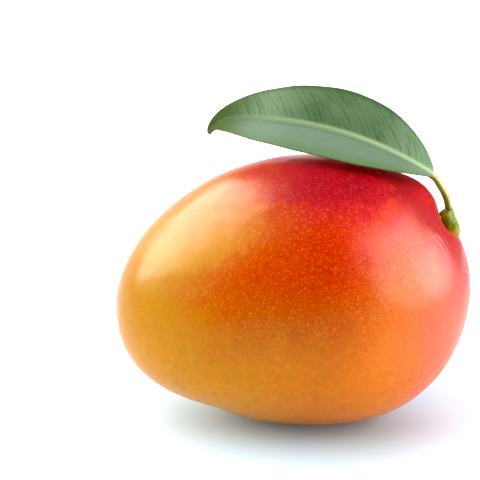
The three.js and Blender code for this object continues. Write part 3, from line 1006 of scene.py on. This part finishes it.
def leaf_material():
    """Waxy leaf: the far half green with a dark border, the near one greyer with a greener border,
    the grey partly a painted sheen, both with dark streaks and faint pale side veins that slant
    towards the tip. The midrib is pale with a painted shade under it, the tip dark olive with
    painted shade, the margin darker and the underside plain green."""
    material, graph, shader = new_material("leaf_skin")
    surface = graph.node("ShaderNodeUVMap", uv_map="surface").outputs["UV"]
    parts = graph.node("ShaderNodeSeparateXYZ", {"Vector": surface})
    distance, reach = parts.outputs["X"], parts.outputs["Y"]
    along, edge, rib = (graph.field(name) for name in ("along", "edge", "rib"))
    place = graph.place()
    cloud = graph.noise(place, LEAF_CLOUDS)
    start = vein_start(graph, distance, reach)
    from_vein = graph.math("PINGPONG", start, 0.5 * VEIN_SPACING / MM)
    veins = graph.product(graph.fade(from_vein, "vein"), graph.fade(cloud, "vein_clouds"))
    fineness, stretch = STREAK_FINENESS
    lines = graph.node("ShaderNodeCombineXYZ", {"X": start, "Y": graph.product(reach, stretch)})
    streaks = graph.noise(lines.outputs["Vector"], fineness, detail=4.0, roughness=0.65)
    cells = graph.node("ShaderNodeTexVoronoi", {"Vector": place, "Scale": LEAF_NET},
                       feature="DISTANCE_TO_EDGE")
    net = graph.fade(cells.outputs["Distance"], "net")

    near_half = graph.fade(reach, "near_half")
    middle_part = graph.product(graph.fade(along, "dark_from"), graph.fade(along, "dark_to"))
    darker = graph.product(middle_part, graph.fade(cloud, "dark_clouds"))
    streaked_by_rib = graph.product(graph.fade(reach, "beside_rib"), middle_part,
                                    graph.fade(streaks, "streaks_by_rib"))
    far_green = graph.mix(darker, FAR_GREEN, FAR_GREEN_DARK)
    far_green = graph.mix(streaked_by_rib, far_green, LEAF_STREAK)
    # near half greyer, partly a painted sheen
    near_green_and_sheen = graph.mix(graph.fade(edge, "near_border"), NEAR_GREEN_AND_SHEEN, NEAR_BORDER)
    colour = graph.mix(near_half, far_green, near_green_and_sheen)

    from_shade = graph.math("ABSOLUTE", graph.total(reach, RIB_SHADE_OFFSET / MM))
    under_rib = graph.product(graph.fade(from_shade, "rib_shade"), graph.fade(along, "rib_shade_to"))
    streak_share = graph.product(graph.fade(streaks, "streaks"),
                                 graph.fade(near_half, "streaks_in_near_half"),
                                 graph.fade(along, "streaks_at_base"))
    far_border = graph.product(graph.fade(edge, "far_border"), graph.fade(reach, "far_half"))
    rib_share = graph.product(rib, graph.fade(along, "rib_to_tip"))
    rib_colour = graph.mix(graph.math("POWER", along, RIB_GREENING), RIB_AT_STALK, RIB_AT_TIP)
    for share, layer in (
            (under_rib, RIB_SHADE), (streak_share, LEAF_STREAK), (far_border, LEAF_STREAK),
            (graph.fade(along, "pale_base"), LEAF_VEIN), (graph.product(net, NET_SHARE), LEAF_VEIN),
            (graph.product(veins, VEIN_SHARE), LEAF_VEIN), (graph.fade(along, "tip"), LEAF_TIP),
            (rib_share, rib_colour), (graph.fade(along, "shaded_tip"), LEAF_SHADED),
            (graph.fade(edge, "margin"), LEAF_MARGIN)):
        colour = graph.mix(share, colour, layer)
    under = graph.mix(rib, LEAF_UNDER, RIB_AT_TIP)
    colour = graph.mix(graph.field("upper_face"), under, colour)
    height = graph.total(graph.product(net, NET_HEIGHT), streaks, graph.product(veins, VEIN_HEIGHT))
    graph.fill(shader, {
        "Base Color": colour, "Roughness": graph.fade(streaks, "leaf_roughness"),
        "Specular IOR Level": 0.025, "Normal": graph.bump(height, 0.2, 0.1 * MM),
    })
    return material


# ---- Floor, light and camera ----

def floor_material():
    """Pale matt floor, cooler under the fruit. It glows more and more with the distance from the
    fruit, in a strip that starts in front of it and widens with the view behind it, and in a patch
    at the right of that strip."""
    material, graph, shader = new_material("pale_floor")
    place = graph.place()
    from_fruit = graph.distance(place, GLOW_CENTRE)
    glow = graph.total(*(graph.between(from_fruit, *ring) for ring in GLOW_RINGS))
    parts = graph.node("ShaderNodeSeparateXYZ", {"Vector": place})
    aside = graph.math("SUBTRACT", parts.outputs["X"], CAMERA_AT[0])
    strip_reach = graph.product(graph.math("SUBTRACT", parts.outputs["Y"], CAMERA_AT[1]), GLOW_SPREAD)
    past_right = graph.math("SUBTRACT", aside, strip_reach)
    past_left = graph.math("SUBTRACT", graph.product(aside, -1.0), strip_reach)
    past_edge = graph.math("MAXIMUM", past_left, past_right)
    behind = graph.between(parts.outputs["Y"], *GLOW_FRONT, GLOW_LEAST, 1.0)
    strip = graph.product(glow, graph.between(past_edge, *GLOW_EDGE, 1.0, GLOW_LEAST), behind)
    patch = graph.product(graph.between(past_right, *SIDE_GLOW_NEAR, 0.0, SIDE_GLOW),
                          graph.between(past_right, *SIDE_GLOW_FAR, 1.0, 0.0), behind)
    under_fruit = graph.between(graph.distance(place, COOL_CENTRE), *COOL_FADE)
    graph.fill(shader, {
        "Base Color": graph.mix(under_fruit, FLOOR_UNDER_FRUIT, FLOOR_COLOUR), "Roughness": 0.9,
        "Specular IOR Level": 0.0, "Emission Color": (1, 1, 1, 1),
        "Emission Strength": graph.total(strip, patch),
    })
    return material


def build_stage():
    """One wide square of floor."""
    half = FLOOR_HALF_SIZE
    corners = [(-half, -half, 0), (half, -half, 0), (half, half, 0), (-half, half, 0)]
    mesh = bpy.data.meshes.new("floor")
    mesh.from_pydata(corners, [], [(0, 1, 2, 3)])
    mesh.transform(Matrix.Translation((0, 0, FLOOR_BELOW)))
    floor = bpy.data.objects.new("floor", mesh)
    bpy.context.collection.objects.link(floor)
    floor.data.materials.append(floor_material())


def add_panel(name, direction, long_way, half_angles, brightness, in_gloss=True, in_light=True):
    """A soft rectangular light seen from the fruit in a direction, its long side along long_way.

    half_angles are half of its length and of its width, in degrees as seen from the fruit. A panel
    that isn't in the gloss has no reflection of its own, and one that isn't in the light shows in
    reflections only."""
    away = Vector(direction).normalized()
    length_way = Vector(long_way)
    length_way = (length_way - away * length_way.dot(away)).normalized()
    width_way = away.cross(length_way)
    light = bpy.data.lights.new(name, "AREA")
    light.shape = "RECTANGLE"
    light.size, light.size_y = (2 * PANEL_DISTANCE * math.tan(math.radians(half))
                                for half in half_angles)
    light.energy = brightness * math.pi * light.size * light.size_y
    lamp = bpy.data.objects.new(name, light)
    lamp.location = Vector(MIDDLE) + away * PANEL_DISTANCE
    lamp.rotation_euler = Matrix((length_way, width_way, away)).transposed().to_euler()
    lamp.visible_glossy = in_gloss
    lamp.visible_diffuse = in_light
    bpy.context.collection.objects.link(lamp)


def build_lights():
    """Reflections only: a softbox at the upper left in a wider, dimmer halo, one low at the right,
    and a diffuser in front of it. Light only: fills at the left, the right and behind, and a
    ceiling. A wall behind does both, and the side of the camera stays dark."""
    add_panel("left_softbox", (-0.702, 0.3, 0.646), (0.7, 0.5, 0.5), (23.5, 20.5), 15, in_light=False)
    add_panel("left_halo", (-0.702, 0.3, 0.646), (0.7, 0.5, 0.5), (28.5, 26), 6, in_light=False)
    add_panel("left_fill", (-0.7, -0.22, 0.62), (0.88, -0.14, 0.8), (34, 27), 2.6, in_gloss=False)
    add_panel("right_softbox", (0.98, 0.03, 0.1), (0, 1, 0), (20, 18), 9.0, in_light=False)
    add_panel("right_diffuser", (0.84, -0.39, 0.37), (0, 0, 1), (28.5, 29), 8.4, in_light=False)
    add_panel("right_fill", (0.9, -0.38, 0.1), (0, 0, 1), (36, 34), 2.2, in_gloss=False)
    add_panel("back_wall", (-0.45, 1, 0.2), (1, 0, 0), (28, 11), 1.5)
    add_panel("back_fill", (0.1, 0.95, 0.45), (1, 0, 0), (40, 12), 3.0, in_gloss=False)
    add_panel("ceiling", (0.2, 0.1, 1), (1, 0, 0), (45, 45), 0.75, in_gloss=False)
    world = bpy.data.worlds.new("studio")
    world.use_nodes = True
    background = world.node_tree.nodes["Background"].inputs
    background["Color"].default_value = (1, 1, 1, 1)
    background["Strength"].default_value = WORLD_BRIGHTNESS
    bpy.context.scene.world = world


def build_camera():
    """A long lens in front, looking a little down, and a view whose blacks are slightly crushed."""
    camera = bpy.data.cameras.new("camera")
    camera.lens = LENS
    camera.sensor_width = SENSOR
    camera.clip_start = NEAREST_SEEN
    holder = bpy.data.objects.new("camera", camera)
    holder.location = CAMERA_AT
    holder.rotation_euler = (math.pi / 2 - CAMERA_DOWN, 0, 0)
    bpy.context.collection.objects.link(holder)
    bpy.context.scene.camera = holder
    view = bpy.context.scene.view_settings
    view.view_transform = "Standard"
    view.use_curve_mapping = True
    view.curve_mapping.black_level = (BLACK_LEVEL,) * 3
    view.curve_mapping.update()


DOT_GROUP = dot_group()
build_fruit()
build_stub()
build_leaf_stalk()
build_leaf()
build_stage()
build_lights()
build_camera()
